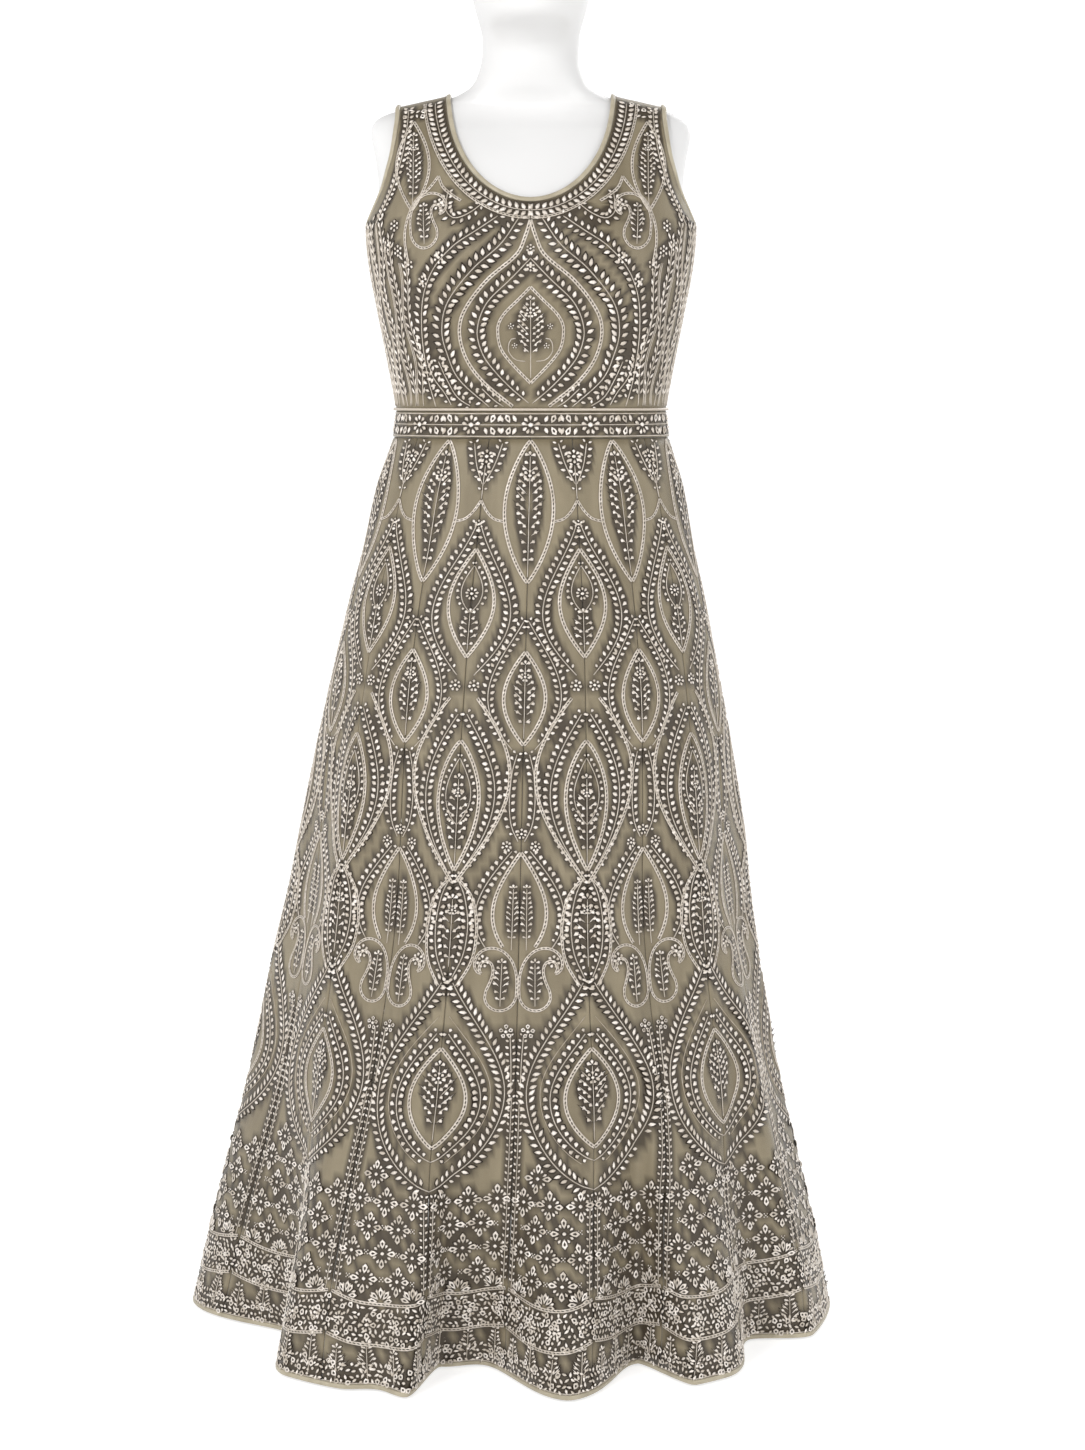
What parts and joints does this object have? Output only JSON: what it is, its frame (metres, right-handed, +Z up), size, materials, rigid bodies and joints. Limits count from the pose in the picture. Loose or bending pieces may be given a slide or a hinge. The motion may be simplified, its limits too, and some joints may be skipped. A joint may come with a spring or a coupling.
{
  "type": "anarkali gown on a limbless dress form",
  "caption": "Sleeveless floor-length flared gown with a fitted bodice, waistband and embroidered panels, on a smooth armless dress form with a round base.",
  "frame": {"origin": "on the floor, at the centre of the underside of the stand's base plate", "axes": "+Z up, the gown's front towards -Y, its wearer's left towards +X"},
  "size_m": [0.7371, 0.7502, 1.689],
  "materials": {
    "cloth": "olive satin under fine net, with a soft sheen",
    "binding": "satin binding, khaki",
    "silver_thread": "silver-rose metallic cord and thread",
    "form": "smooth white, satin gloss",
    "stand": "white paint"
  },
  "bodies": {
    "root": {"armhole_binding_back_left": "binding", "armhole_binding_back_right": "binding", "armhole_binding_front_left": "binding", "armhole_binding_front_right": "binding", "bodice_back_left": "cloth", "bodice_back_right": "cloth", "bodice_front": "cloth", "dress_form": "form", "hem_binding_01": "binding", "hem_binding_02": "binding", "hem_binding_03": "binding", "hem_binding_04": "binding", "hem_binding_05": "binding", "hem_binding_06": "binding", "hem_binding_07": "binding", "hem_binding_08": "binding", "hem_binding_09": "binding", "hem_binding_10": "binding", "neck_binding_back": "binding", "neck_binding_front": "binding", "skirt_panel_01": "cloth", "skirt_panel_02": "cloth", "skirt_panel_03": "cloth", "skirt_panel_04": "cloth", "skirt_panel_05": "cloth", "skirt_panel_06": "cloth", "skirt_panel_07": "cloth", "skirt_panel_08": "cloth", "skirt_panel_09": "cloth", "skirt_panel_10": "cloth", "skirt_panel_11": "cloth", "skirt_panel_12": "cloth", "skirt_panel_13": "cloth", "skirt_panel_14": "cloth", "skirt_panel_15": "cloth", "skirt_panel_16": "cloth", "skirt_panel_17": "cloth", "skirt_panel_18": "cloth", "skirt_panel_19": "cloth", "skirt_panel_20": "cloth", "stand_base": "stand", "stand_pole": "stand", "waist_piping_back": "silver_thread", "waist_piping_front": "silver_thread", "waistband_back": "cloth", "waistband_front": "cloth"}
  },
  "joints": []
}
